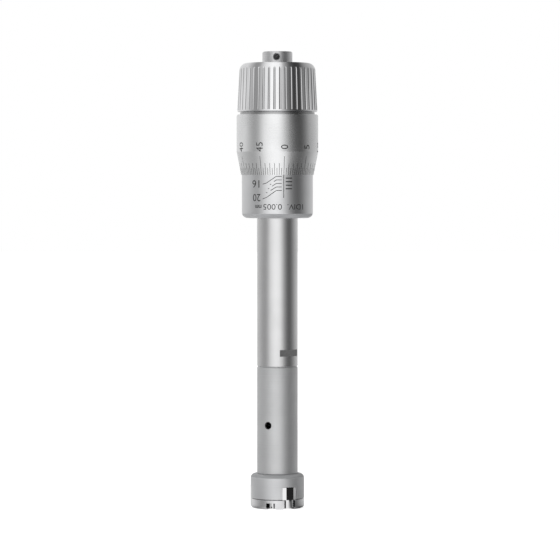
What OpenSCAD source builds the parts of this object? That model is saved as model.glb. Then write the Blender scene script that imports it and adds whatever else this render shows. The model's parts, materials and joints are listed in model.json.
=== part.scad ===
// Three-point inside micrometer for bores of 16 to 20 mm, standing on its measuring head.
// Millimetres. +Z runs from the measuring head up to the ratchet, and the front faces -Y.
// A bearing is an angle round the Z axis in degrees, from the front towards +X.

/* [Measuring head] */
// Outer diameter of the head and of its end cap
head_d = 15.4; // [15:0.1:17]
// Height of the head above the end cap
head_h = 7.05; // [6.8:0.05:9]
// Thickness of the head above the slots for the anvils
head_roof = 1; // [0.8:0.1:1.5]
// Rounding of the head's shoulder
shoulder_r = 1.2; // [0.4:0.1:1.4]
// Thickness of the end cap
end_cap_h = 2.75; // [2.4:0.05:3]
// Thickness of the end cap under the tip of the cone
end_cap_floor = 0.7; // [0.4:0.1:1]
// Rounding of the end cap's lower edge
end_cap_edge_r = 0.8; // [0.3:0.05:1]
// Chamfer on each side of the seam between the head and the end cap
cap_seam = 0.18; // [0.04:0.02:0.3]
// Diameter of the end cap screws' heads
cap_screw_head_d = 2.2; // [1.8:0.1:2.4]
// Diameter of the end cap screws' shanks
cap_screw_d = 1.2; // [1:0.1:1.4]
// Length of the end cap screws' shanks
cap_screw_l = 4; // [3:0.25:5]
// Distance of the end cap screws from the axis
cap_screw_at = 5.4; // [5.2:0.1:5.8]
// Bearing from an anvil to the end cap screw beside it
cap_screw_turn = -43; // [-60:0.5:-38]
// Height of the notches that hold the screws' heads
cap_notch_h = 1.85; // [1.2:0.05:2]

/* [Anvils and cone] */
// Travel of the cone along the axis, from rest to the largest bore
feed_travel = 4.5; // [3:0.25:5]
// Radial step of the cone for each unit along the axis
cone_slope = 0.5; // [0.4:0.05:0.5]
// Radius of the cone's tip
cone_tip_r = 0.6; // [0.6:0.05:0.8]
// Diameter of the cone's guide
cone_d = 7.6; // [7:0.1:8]
// Length of the cone's guide
cone_guide_l = 7; // [5:0.5:9]
// Bearing of the first anvil
anvil_bearing = 28; // [0:0.5:119]
// Width of an anvil's contact pad
pad_w = 4.4; // [3.8:0.1:4.6]
// Height of an anvil's contact pad
pad_h = 3.55; // [3:0.05:3.8]
// Width of the crowned contact face in the middle of a pad
pad_face_w = 2.3; // [1.6:0.1:3]
// Crown radius of the contact faces
pad_crown_r = 7; // [4:0.1:7.6]
// Slope of the pads' sides, back from the contact face
pad_side_slope = 25; // [10:1:35]
// How far the contact pads stand out of the head at rest
pad_proud = 0.05; // [0:0.05:0.2]
// Width of an anvil's wedge, which rides on the cone
wedge_w = 2; // [1.8:0.1:2.1]
// Width of an anvil's foot, which reaches through the end cap
foot_w = 2.3; // [2:0.05:3]
// Crown radius of the feet
foot_crown_r = 2; // [1.6:0.1:4]
// Room on each side of a foot
foot_room = 0.55; // [0.2:0.05:0.6]
// Thickness of the leaf springs that push the anvils in
leaf_t = 0.25; // [0.2:0.05:0.35]

/* [Tubes] */
// Outer diameter of the head tube
head_tube_d = 11.7; // [11.4:0.1:12.6]
// Visible length of the head tube
head_tube_l = 30.85; // [28:0.05:60]
// Wall of the head tube
head_tube_wall = 0.83; // [0.6:0.01:1]
// Diameter of the pin spanner's hole
spanner_hole_d = 2.15; // [1.5:0.05:2.5]
// Height of the pin spanner's hole above the head's shoulder
spanner_hole_at = 14.15; // [13.5:0.05:18]
// Bearing of the pin spanner's hole
spanner_hole_bearing = -27.4; // [-90:0.1:90]
// Outer diameter of the main tube
main_tube_d = 11.7; // [11.2:0.1:12.4]
// Visible length of the main tube
main_tube_l = 42.7; // [36:0.1:90]
// Bore of the main tube
main_tube_bore_d = 6; // [5.6:0.1:6.4]
// Length of the main tube's spigot inside the head tube
spigot_l = 7.8; // [6:0.1:8.2]
// Distance across the wrench flats
flats_w = 9.7; // [8.6:0.1:10.6]
// Height of the wrench flats
flats_h = 1.9; // [1:0.05:4]
// Distance from the tubes' joint up to the wrench flats
flats_at = 3.1; // [1:0.1:10]
// Bearing of the first wrench flat
flats_bearing = 41; // [0:1:179]
// Chamfer at the tubes' ends
joint_chamfer = 0.25; // [0.05:0.05:0.3]

/* [Push rod] */
// Diameter of the push rod
rod_d = 4.4; // [4:0.1:4.8]
// Diameter of the thrust ball
ball_d = 3.2; // [2.4:0.1:3.4]
// Length of the push rod's guide bush
guide_l = 8; // [5:0.5:12]
// Distance from the tubes' joint up to the guide bush
guide_at = 5.7; // [4:0.1:12]
// Diameter of the collar on the push rod
collar_d = 8; // [7:0.1:9]
// Thickness of the collar on the push rod
collar_h = 1.4; // [1:0.1:2]
// Wire of the push rod's return spring
rod_spring_wire = 0.7; // [0.5:0.05:0.8]

/* [Sleeve] */
// Outer diameter of the graduated sleeve
sleeve_d = 20.4; // [20:0.1:22]
// Length of the sleeve that shows at rest
sleeve_shown = 12.35; // [11:0.05:16]
// Wall of the sleeve
sleeve_wall = 1.45; // [1:0.05:2]
// Thickness of the sleeve's floor
sleeve_floor = 2.8; // [2:0.1:4]
// Rounding of the sleeve's lower edge
sleeve_edge_r = 1.6; // [0.3:0.1:1.8]

/* [Spindle] */
// Diameter of the spindle's screw
spindle_screw_d = 7; // [6.6:0.1:7.6]
// Diameter of the spindle's pilot, below the screw
spindle_pilot_d = 5.2; // [4.6:0.1:5.4]
// How far the main tube reaches into the sleeve
tube_in_sleeve = 9; // [8:0.1:9.5]
// Outer diameter of the adjusting nut
adjusting_nut_d = 16.6; // [15:0.1:17.2]
// Height of the adjusting nut
adjusting_nut_h = 4; // [3:0.1:4.4]

/* [Thimble] */
// Wall of the thimble's barrel
thimble_wall = 1.46; // [1:0.01:2.5]
// Wall of the thimble's graduated edge
thimble_edge_wall = 0.12; // [0.1:0.02:0.4]
// Height of the thimble's graduated cone
thimble_cone_h = 6.6; // [5:0.1:8]
// Height of the thimble's barrel
thimble_barrel_h = 10.7; // [10:0.1:20]
// Thickness of the thimble's top wall
thimble_top_wall = 3.7; // [3:0.1:4.5]
// Chamfer of the thimble's upper edge
thimble_chamfer = 0.3; // [0.1:0.05:0.6]
// Diameter of the step on the thimble, under the knob
thimble_step_d = 21.4; // [20:0.1:22.4]

/* [Ratchet] */
// Diameter of the knob at its foot
knob_foot_d = 23; // [22:0.1:26]
// Diameter of the knob at its top
knob_top_d = 21.8; // [20:0.1:26]
// Height of the knob
knob_h = 14.05; // [12:0.05:22]
// Wall of the knob's skirt at its foot
knob_wall = 2.85; // [2:0.05:3.5]
// Thickness of the knob's top wall
knob_top_wall = 2.6; // [2:0.1:4]
// Rounding of the knob's upper edge
knob_edge_r = 2.2; // [0.4:0.1:2.4]
// Height of the plain rim below the flutes
knob_rim_h = 0.55; // [0.3:0.05:2]
// Number of flutes round the knob
flutes = 44; // [30:1:52]
// Radius of a flute
flute_r = 0.4; // [0.24:0.02:0.5]
// Depth of a flute
flute_depth = 0.24; // [0.14:0.02:0.34]
// Gap between the thimble and the knob
knob_gap = 0.7; // [0.4:0.05:1.5]
// Number of ratchet teeth
ratchet_teeth = 24; // [12:12:24]
// Height of the ratchet teeth
tooth_h = 0.7; // [0.4:0.05:0.8]
// Thickness of the ratchet plate
plate_h = 3.5; // [3:0.1:4]
// Height of the clamp washer under the ratchet
washer_h = 2.5; // [2:0.1:3.5]
// Diameter of the ratchet screw's shank
shank_d = 6; // [5.6:0.1:6.6]
// Diameter of the ratchet screw's thread
screw_thread_d = 4; // [3:0.1:4.4]
// Diameter of the ratchet screw's head
screw_head_d = 8.6; // [7:0.1:12]
// Height of the ratchet screw's head
screw_head_h = 3.2; // [2.6:0.1:5]
// Diameter of the tommy hole in the ratchet screw's head
tommy_hole_d = 1.7; // [1:0.1:2]
// Depth of the tommy hole
tommy_hole_l = 2.6; // [1.5:0.1:3]
// Bearing of the tommy hole
tommy_hole_bearing = -3; // [-180:1:180]
// Diameter of the key pin through the ratchet plate
key_pin_d = 1.2; // [0.8:0.1:1.4]

/* [Fits] */
// Radial clearance of what turns or slides
running_fit = 0.04; // [0.02:0.01:0.08]
// Radial clearance of what is assembled and stays put
seat_fit = 0.02; // [0.01:0.01:0.04]
// Small gap between faces that part from each other
face_gap = 0.05; // [0.03:0.01:0.1]
// Wider gap that keeps moving faces apart at the end of their travel
end_gap = 0.4; // [0.3:0.05:0.6]

/* [Hidden] */
$fn = 96;

over = 1;
arc_steps = 8;
anvils = 3;
anvil_step = 360 / anvils;

head_r = head_d / 2;
head_tube_r = head_tube_d / 2;
stem_r = head_tube_r - head_tube_wall - seat_fit;
main_tube_r = main_tube_d / 2;
main_bore_r = main_tube_bore_d / 2;
rod_r = rod_d / 2;
ball_r = ball_d / 2;
cone_r = cone_d / 2;
sleeve_r = sleeve_d / 2;
sleeve_bore_r = sleeve_r - sleeve_wall;
spindle_r = spindle_screw_d / 2;
pilot_r = spindle_pilot_d / 2;
thimble_bore_r = sleeve_r + running_fit;
thimble_r = thimble_bore_r + thimble_wall;
thimble_edge_r = thimble_bore_r + thimble_edge_wall;
knob_foot_r = knob_foot_d / 2;
knob_top_r = knob_top_d / 2;
cavity_r = knob_foot_r - knob_wall;
shank_r = shank_d / 2;
screw_thread_r = screw_thread_d / 2;
screw_head_r = screw_head_d / 2;
washer_r = cavity_r - running_fit;
thimble_step_r = thimble_step_d / 2;

// Heights of the seams, from the end cap's face upwards
z_cap = end_cap_h;
z_shoulder = z_cap + head_h;
z_joint = z_shoulder + head_tube_l;
z_sleeve = z_joint + main_tube_l;
z_edge = z_sleeve + sleeve_shown;
z_barrel = z_edge + thimble_cone_h;
z_thimble = z_barrel + thimble_barrel_h;
z_knob = z_thimble + knob_gap;
z_knob_top = z_knob + knob_h;
z_screw_head = z_knob_top + face_gap;
z_top = z_screw_head + screw_head_h;

// Cone at rest, and the room below its tip for the whole travel
tip_gap = 0.2;
z_tip = end_cap_floor + tip_gap + feed_travel;
z_flank = z_tip + (cone_r - cone_tip_r) / cone_slope;
z_cone_top = z_flank + cone_guide_l;
cone_stud_r = rod_r * 0.55;
cone_stud_l = 6;
head_bore_r = cone_r + running_fit;
lip_h = 2.3;
z_lip = z_cone_top + end_gap;
z_stem_top = z_lip + lip_h;

// Anvils: the wedge rides on the cone, the pad shows, the foot reaches through the end cap
anvil_travel = feed_travel * cone_slope;
z_slot_top = z_shoulder - head_roof;
z_wedge_top = z_slot_top - 2 * face_gap;
z_anvil = z_cap + face_gap / 2;
z_pad_top = z_anvil + pad_h;
z_foot = end_cap_edge_r / 2;
pad_face_r = head_r + pad_proud;
pad_back_r = pad_face_r - 2.75;
pad_axis = pad_face_r - pad_crown_r;
pad_edge_r = pad_axis + sqrt(pow(pad_crown_r, 2) - pow(pad_face_w / 2, 2));
wedge_back_r = pad_back_r - end_gap;
wedge_gap = 0.03;
wedge_tip_r = wedge_w / 2 * tan(30) + 3 * face_gap;
wedge_ramp_z = z_tip + (wedge_tip_r - wedge_gap - cone_tip_r) / cone_slope;
foot_back_r = pad_back_r;
slot_end_r = wedge_back_r + anvil_travel + 3 * face_gap;
cap_pocket_r = cone_tip_r + (z_cap - z_tip + feed_travel) * cone_slope + end_gap;

// Leaf springs, held in the head's roof behind the wedges
leaf_w = wedge_w * 0.8;
leaf_root = head_roof * 0.75;
leaf_r = wedge_back_r + face_gap;
z_leaf = z_pad_top + 4 * face_gap;

// End cap screws
cap_screw_head_h = cap_notch_h - 0.2;
cap_notch_w = cap_screw_head_d + end_gap;
cap_screw_slot = cap_screw_head_d * 0.2;

// Push rod, return spring and ball
z_spigot = z_joint - spigot_l;
z_collar = z_spigot - collar_h - face_gap * 4;
z_pilot = z_sleeve + sleeve_floor + 0.1;
z_ball = z_pilot - seat_fit - ball_r;
z_rod_top = z_ball - ball_r * 0.2;
z_guide = z_joint + guide_at;
rod_spring_r = rod_r + rod_spring_wire / 2 + 0.5;
rod_spring_turns = 6;

// Spindle, nut and adjusting nut
z_inner = z_sleeve + sleeve_floor;
z_tube_top = z_sleeve + tube_in_sleeve;
z_counterbore = z_tube_top - feed_travel - end_gap * 2.5;
counterbore_r = spindle_r + end_gap;
z_ceiling = z_thimble - thimble_top_wall;
flange_h = 2;
flange_r = spindle_r + 1.5;
z_flange = z_ceiling - flange_h;
z_sleeve_top = z_ceiling - feed_travel - end_gap;
z_nut_top = z_flange - feed_travel - end_gap;
z_adjust_top = z_nut_top - 0.6;
z_adjust = z_adjust_top - adjusting_nut_h;
z_neck = z_adjust - 1.2;
neck_r = spindle_r + 2.5;
slit_w = 0.6;
taper_foot_r = spindle_r + 0.7;
taper_top_r = spindle_r + 0.1;
z_spindle_top = z_thimble - 0.3;
tapped_l = 9;

// Ratchet
z_washer_top = z_thimble + washer_h;
z_knob_ceiling = z_knob_top - knob_top_wall;
tooth_gap = 2 * face_gap;
z_plate_top = z_knob_ceiling - tooth_gap;
z_plate = z_plate_top - plate_h;
z_key_pin = z_plate + plate_h * 0.4;
plate_r = cavity_r - 0.3;
plate_lift = tooth_h + 0.2;
tooth_out_r = plate_r - 0.3;
tooth_in_r = tooth_out_r - 2.8;
tooth_pitch = 360 / ratchet_teeth;
tooth_base = 2 * PI * tooth_in_r / ratchet_teeth * 0.9;
ratchet_wire = 0.8;
ratchet_spring_r = shank_r + 1.6;
ratchet_spring_turns = 4.5;
key_pin_l = 2 * (plate_r - 0.5);
knob_taper = atan((knob_foot_r - knob_top_r) / knob_h);

// Bearing of anvil i, counted from 1
function bearing_of(i) = anvil_bearing + (i - 1) * anvil_step;

// Points along an arc in a profile
function arc(x, y, r, from, to) =
    [for (i = [0:arc_steps]) let (a = from + (to - from) * i / arc_steps) [x + r * cos(a), y + r * sin(a)]];

// Turns a child that lies along +X to a bearing
module at_bearing(b) {
    rotate([0, 0, b - 90]) children();
}

// A turned piece from its half profile of [radius, height] points
module turned(profile) {
    rotate_extrude() polygon(profile);
}

// A plain ring
module ring(inner, outer, from, to) {
    turned([[inner, from], [outer, from], [outer, to], [inner, to]]);
}

// A slab that starts at radius from, points along +X and lies evenly on both sides of it
module slab(from, to, width, low, high) {
    translate([from, -width / 2, low]) cube([to - from, width, high - low]);
}

// A side profile of [radius, height] points, extruded evenly on both sides of the XZ plane
module plate_xz(profile, width) {
    translate([0, width / 2, 0]) rotate([90, 0, 0]) linear_extrude(width) polygon(profile);
}

// A prism along +X from a profile of [sideways, up] points
module prism_x(profile, from, to) {
    translate([from, 0, 0]) rotate([90, 0, 90]) linear_extrude(to - from) polygon(profile);
}

// A compression spring with one closed turn at each end, standing on z = low
module coil(mean_r, wire, turns, low, high) {
    sides = 6;
    steps = 18;
    last = floor(turns * steps);
    closed = wire * 1.05;
    free = (high - low - wire - 2 * closed) / (turns - 2);
    function lift(t) = t < 1 ? t * closed
        : t < turns - 1 ? closed + (t - 1) * free
        : closed * (t - turns + 2) + (turns - 2) * free;
    rings = [for (k = [0:last]) let (t = k / steps) [
        for (s = [0:sides - 1]) let (a = s * 360 / sides, r = mean_r + wire / 2 * cos(a))
            [r * cos(t * 360), r * sin(t * 360), low + wire / 2 + lift(t) + wire / 2 * sin(a)]
    ]];
    points = [for (one = rings) each one];
    walls = [for (k = [0:last - 1], s = [0:sides - 1]) let (n = (s + 1) % sides)
        [k * sides + s, (k + 1) * sides + s, (k + 1) * sides + n, k * sides + n]];
    first_end = [for (s = [0:sides - 1]) s];
    last_end = [for (s = [sides - 1:-1:0]) last * sides + s];
    polyhedron(points, concat(walls, [first_end, last_end]), convexity = 8);
}

// Open notch for a screw head, from the end cap's rim inwards
module screw_notch() {
    outline = concat(
        arc(cap_screw_at, 0, cap_notch_w / 2, 90, 270),
        [[head_r + over, -cap_notch_w / 2], [head_r + over, cap_notch_w / 2]]
    );
    translate([0, 0, -over]) linear_extrude(over + cap_notch_h) polygon(outline);
}

module end_cap() {
    color("gainsboro") difference() {
        turned(concat(
            [[0, 0]],
            arc(head_r - end_cap_edge_r, end_cap_edge_r, end_cap_edge_r, -90, 0),
            [[head_r, z_cap - cap_seam], [head_r - cap_seam, z_cap], [0, z_cap]]
        ));
        translate([0, 0, end_cap_floor]) cylinder(r = cap_pocket_r, h = end_cap_h);
        for (i = [1:anvils]) {
            at_bearing(bearing_of(i))
                slab(foot_back_r - end_gap, head_r + over, foot_w + 2 * foot_room, -over, z_cap + over);
            at_bearing(bearing_of(i) + cap_screw_turn) {
                screw_notch();
                translate([cap_screw_at, 0, 0]) cylinder(d = cap_screw_d + 2 * seat_fit, h = z_cap + over);
            }
        }
    }
}

module end_cap_screws() {
    z_head = cap_notch_h - cap_screw_head_h;
    color("dimgray") for (i = [1:anvils])
        at_bearing(bearing_of(i) + cap_screw_turn) translate([cap_screw_at, 0, 0]) difference() {
            union() {
                translate([0, 0, z_head]) cylinder(d = cap_screw_head_d, h = cap_screw_head_h);
                translate([0, 0, z_head]) cylinder(d = cap_screw_d, h = cap_screw_head_h + cap_screw_l);
            }
            translate([-cap_screw_head_d, -cap_screw_slot / 2, 0])
                cube([2 * cap_screw_head_d, cap_screw_slot, z_head + cap_screw_head_h * 0.4]);
        }
}

module head_body() {
    z_screw_end = cap_notch_h + cap_screw_l;
    color("silver") difference() {
        turned(concat(
            [[head_bore_r, z_cap], [head_r - cap_seam, z_cap], [head_r, z_cap + cap_seam]],
            arc(head_r - shoulder_r, z_shoulder - shoulder_r, shoulder_r, 0, 90),
            [
                [stem_r, z_shoulder], [stem_r, z_stem_top], [rod_r + running_fit, z_stem_top],
                [rod_r + running_fit, z_lip], [head_bore_r, z_lip]
            ]
        ));
        for (i = [1:anvils]) {
            at_bearing(bearing_of(i)) {
                slab(0, slot_end_r, wedge_w + 2 * face_gap, z_cap - over, z_slot_top);
                slab(pad_back_r - 2 * face_gap, head_r + over, pad_w + 2 * face_gap,
                    z_cap - over, z_pad_top + face_gap);
                slab(leaf_r - seat_fit, leaf_r + leaf_t + seat_fit, leaf_w + 2 * seat_fit,
                    z_slot_top - over, z_slot_top + leaf_root + seat_fit);
            }
            at_bearing(bearing_of(i) + cap_screw_turn) translate([cap_screw_at, 0, z_cap - over])
                cylinder(d = cap_screw_d + 2 * seat_fit, h = z_screw_end + face_gap - z_cap + over);
        }
    }
}

module leaf_spring(i) {
    color("slategray") at_bearing(bearing_of(i))
        slab(leaf_r, leaf_r + leaf_t, leaf_w, z_leaf, z_slot_top + leaf_root);
}

module anvil(i) {
    wedge_top_r = cone_tip_r + wedge_gap + (z_wedge_top - z_tip) * cone_slope;
    side_r = pad_edge_r - (pad_w - pad_face_w / 2) * tan(pad_side_slope);
    color("white") at_bearing(bearing_of(i)) intersection() {
        union() {
            plate_xz([
                [wedge_tip_r, z_anvil], [pad_back_r + over, z_anvil], [pad_back_r + over, z_pad_top],
                [wedge_back_r, z_pad_top], [wedge_back_r, z_wedge_top], [wedge_top_r, z_wedge_top],
                [wedge_tip_r, wedge_ramp_z]
            ], wedge_w);
            slab(pad_back_r, pad_face_r + over, pad_w, z_anvil, z_pad_top);
            intersection() {
                slab(foot_back_r, pad_face_r + over, foot_w, z_foot, z_anvil + over);
                translate([pad_face_r - foot_crown_r, 0, 0]) cylinder(r = foot_crown_r, h = z_shoulder);
            }
        }
        translate([pad_axis, 0, 0]) cylinder(r = pad_crown_r, h = z_shoulder);
        linear_extrude(z_shoulder) polygon([
            [0, -pad_w], [side_r, -pad_w], [pad_edge_r, -pad_face_w / 2], [pad_face_r + over, -pad_face_w / 2],
            [pad_face_r + over, pad_face_w / 2], [pad_edge_r, pad_face_w / 2], [side_r, pad_w], [0, pad_w]
        ]);
    }
}

module head_tube() {
    color("silver") difference() {
        turned([
            [stem_r + seat_fit, z_shoulder], [head_tube_r - joint_chamfer, z_shoulder],
            [head_tube_r, z_shoulder + joint_chamfer], [head_tube_r, z_joint - joint_chamfer],
            [head_tube_r - joint_chamfer, z_joint], [stem_r + seat_fit, z_joint]
        ]);
        at_bearing(spanner_hole_bearing) translate([0, 0, z_shoulder + spanner_hole_at])
            rotate([0, 90, 0]) cylinder(d = spanner_hole_d, h = head_tube_r + over);
    }
}

module main_tube() {
    z_flats = z_joint + flats_at;
    color("gainsboro") difference() {
        turned([
            [main_bore_r, z_spigot], [stem_r, z_spigot], [stem_r, z_joint],
            [main_tube_r - joint_chamfer, z_joint], [main_tube_r, z_joint + joint_chamfer],
            [main_tube_r, z_tube_top], [counterbore_r, z_tube_top], [counterbore_r, z_counterbore],
            [main_bore_r, z_counterbore]
        ]);
        for (turn = [0, 180])
            at_bearing(flats_bearing + turn)
                slab(flats_w / 2, main_tube_r + over, main_tube_d, z_flats, z_flats + flats_h);
    }
}

module rod_guide() {
    color("peru") ring(rod_r + running_fit, main_bore_r - seat_fit, z_guide, z_guide + guide_l);
}

module rod_spring() {
    color("slategray") coil(rod_spring_r, rod_spring_wire, rod_spring_turns, z_stem_top, z_collar);
}

module sleeve() {
    color("silver") turned(concat(
        [[main_tube_r + seat_fit, z_sleeve]],
        arc(sleeve_r - sleeve_edge_r, z_sleeve + sleeve_edge_r, sleeve_edge_r, -90, 0),
        [
            [sleeve_r, z_sleeve_top], [sleeve_bore_r, z_sleeve_top], [sleeve_bore_r, z_inner],
            [main_tube_r + seat_fit, z_inner]
        ]
    ));
}

module inner_sleeve() {
    color("darkgray") difference() {
        turned([
            [main_tube_r + seat_fit, z_inner], [sleeve_bore_r - seat_fit, z_inner],
            [sleeve_bore_r - seat_fit, z_neck], [neck_r, z_neck], [neck_r, z_nut_top],
            [spindle_r + running_fit, z_nut_top], [spindle_r + running_fit, z_tube_top],
            [main_tube_r + seat_fit, z_tube_top]
        ]);
        for (i = [1:3]) rotate([0, 0, i * 120]) slab(0, neck_r + over, slit_w, z_neck + slit_w, z_nut_top + over);
    }
}

module adjusting_nut() {
    notch_w = 2.4;
    notch_h = 1.2;
    color("dimgray") difference() {
        ring(neck_r + seat_fit, adjusting_nut_d / 2, z_adjust, z_adjust_top);
        for (turn = [0, 180])
            rotate([0, 0, turn])
                slab(neck_r + 1, adjusting_nut_d, notch_w, z_adjust_top - notch_h, z_adjust_top + over);
    }
}

module cone() {
    color("lightgray") turned([
        [0, z_tip], [cone_tip_r, z_tip], [cone_r, z_flank], [cone_r, z_cone_top],
        [cone_stud_r, z_cone_top], [cone_stud_r, z_cone_top + cone_stud_l], [0, z_cone_top + cone_stud_l]
    ]);
}

module push_rod() {
    stud_hole_r = cone_stud_r + seat_fit;
    cup_r = ball_r + seat_fit;
    z_stud_hole = z_cone_top + cone_stud_l + face_gap;
    z_cup = z_ball - ball_r - seat_fit;
    color("lightgray") difference() {
        translate([0, 0, z_cone_top]) cylinder(r = rod_r, h = z_rod_top - z_cone_top);
        translate([0, 0, z_cone_top - over]) cylinder(r = stud_hole_r, h = z_stud_hole - z_cone_top + over);
        translate([0, 0, z_cup]) cylinder(r = cup_r, h = z_rod_top - z_cup + over);
    }
}

module rod_collar() {
    color("dimgray") ring(rod_r + seat_fit, collar_d / 2, z_collar, z_collar + collar_h);
}

module thrust_ball() {
    color("white") translate([0, 0, z_ball]) sphere(r = ball_r);
}

module spindle() {
    z_tapped = z_spindle_top - tapped_l;
    color("lightgray") turned([
        [0, z_pilot], [pilot_r, z_pilot], [pilot_r, z_tube_top], [spindle_r, z_tube_top],
        [spindle_r, z_flange], [flange_r, z_flange], [flange_r, z_ceiling],
        [taper_foot_r, z_ceiling], [taper_top_r, z_spindle_top],
        [screw_thread_r + seat_fit, z_spindle_top], [screw_thread_r + seat_fit, z_tapped], [0, z_tapped]
    ]);
}

module thimble() {
    taper_step = (taper_foot_r - taper_top_r) / (z_spindle_top - z_ceiling);
    top_bore_r = taper_foot_r + seat_fit - taper_step * thimble_top_wall;
    z_step = z_knob - 2 * face_gap;
    color("silver") turned([
        [thimble_bore_r, z_edge], [thimble_edge_r, z_edge], [thimble_r, z_barrel],
        [thimble_r, z_thimble - thimble_chamfer], [thimble_r - thimble_chamfer, z_thimble],
        [thimble_step_r, z_thimble], [thimble_step_r, z_step], [washer_r + seat_fit, z_step],
        [washer_r + seat_fit, z_thimble], [top_bore_r, z_thimble],
        [taper_foot_r + seat_fit, z_ceiling], [thimble_bore_r, z_ceiling]
    ]);
}

module clamp_washer() {
    color("dimgray") ring(screw_thread_r + seat_fit, washer_r, z_thimble, z_washer_top);
}

module ratchet_screw() {
    head_edge = 0.3;
    z_hole = z_screw_head + screw_head_h / 2;
    z_thread_end = z_spindle_top - tapped_l + end_gap;
    countersink = 0.3;
    drill_point = tommy_hole_d * 0.3;
    color("gainsboro") difference() {
        turned([
            [0, z_thread_end], [screw_thread_r, z_thread_end], [screw_thread_r, z_washer_top],
            [shank_r, z_washer_top], [shank_r, z_screw_head], [screw_head_r, z_screw_head],
            [screw_head_r, z_top - head_edge], [screw_head_r - head_edge, z_top], [0, z_top]
        ]);
        at_bearing(tommy_hole_bearing) translate([screw_head_r - tommy_hole_l, 0, z_hole]) rotate([0, 90, 0]) {
            cylinder(d = tommy_hole_d, h = tommy_hole_l + over);
            translate([0, 0, -drill_point]) cylinder(d1 = 0, d2 = tommy_hole_d, h = drill_point);
            translate([0, 0, tommy_hole_l - countersink])
                cylinder(d1 = tommy_hole_d, d2 = tommy_hole_d + 4 * countersink, h = 2 * countersink);
        }
        slab(-shank_r - over, shank_r + over, key_pin_d + 2 * running_fit,
            z_key_pin - key_pin_d / 2 - plate_lift - face_gap, z_key_pin + key_pin_d / 2 + face_gap);
    }
}

module ratchet_spring() {
    color("slategray") coil(ratchet_spring_r, ratchet_wire, ratchet_spring_turns, z_washer_top, z_plate);
}

// A ratchet tooth seen along its length: its steep face is at 0, and its ramp falls away on the other side
module ratchet_plate() {
    notch = [[0, over], [0, -tooth_h], [-tooth_base, 0], [-tooth_base, over]];
    color("dimgray") difference() {
        ring(shank_r + running_fit, plate_r, z_plate, z_plate_top);
        for (i = [1:ratchet_teeth])
            rotate([0, 0, i * tooth_pitch]) translate([0, 0, z_plate_top]) prism_x(notch, tooth_in_r, plate_r + over);
        translate([-plate_r, 0, z_key_pin]) rotate([0, 90, 0])
            cylinder(d = key_pin_d + 2 * seat_fit, h = 2 * plate_r);
    }
}

module ratchet_key_pin() {
    color("lightgray") translate([-key_pin_l / 2, 0, z_key_pin]) rotate([0, 90, 0])
        cylinder(d = key_pin_d, h = key_pin_l);
}

module ratchet_knob() {
    side_gap = face_gap;
    root = 0.3;
    tooth = [
        [-side_gap, tooth_gap + root],
        [-side_gap, tooth_gap - tooth_h * (1 - side_gap / tooth_base)],
        [-tooth_base, tooth_gap], [-tooth_base, tooth_gap + root]
    ];
    rim = 0.25;
    z_flute = z_knob + knob_rim_h;
    edge_x = knob_top_r - knob_edge_r;
    color("gainsboro") {
        difference() {
            turned(concat(
                [
                    [cavity_r, z_knob], [knob_foot_r - rim, z_knob],
                    [knob_foot_r - rim * tan(knob_taper), z_knob + rim]
                ],
                arc(edge_x, z_knob_top - knob_edge_r, knob_edge_r, knob_taper, 90),
                [
                    [shank_r + running_fit, z_knob_top], [shank_r + running_fit, z_knob_ceiling],
                    [cavity_r, z_knob_ceiling]
                ]
            ));
            for (i = [1:flutes])
                rotate([0, 0, (i + 0.5) * 360 / flutes])
                    translate([knob_foot_r - flute_depth + flute_r, 0, z_knob]) rotate([0, -knob_taper, 0])
                        translate([0, 0, z_flute - z_knob]) cylinder(r = flute_r, h = knob_h + over);
        }
        for (i = [1:ratchet_teeth])
            rotate([0, 0, i * tooth_pitch]) translate([0, 0, z_plate_top])
                prism_x(tooth, tooth_in_r + 2 * face_gap, tooth_out_r);
    }
}

end_cap();
end_cap_screws();
head_body();
leaf_spring(1);  // leaf_spring_1
leaf_spring(2);  // leaf_spring_2
leaf_spring(3);  // leaf_spring_3
head_tube();
main_tube();
rod_guide();
rod_spring();
sleeve();
inner_sleeve();
adjusting_nut();
anvil(1);  // anvil_1
anvil(2);  // anvil_2
anvil(3);  // anvil_3
cone();
push_rod();
rod_collar();
thrust_ball();
spindle();
thimble();
clamp_washer();
ratchet_screw();
ratchet_spring();
ratchet_plate();
ratchet_key_pin();
ratchet_knob();
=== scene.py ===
# %% [markdown]
# An inside micrometer measures the bore of a hole with three small anvils. The instrument stands on its
# measuring head here. The solids come from a imported CAD model, so this lesson doesn't model the tubes again:
# it gives each metal its finish, hangs a welded copy of each spring on its body, engraves the two scales, and
# lights it all like a catalogue photograph.

# %% Load the solids
import json
import math
from collections import namedtuple

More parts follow.
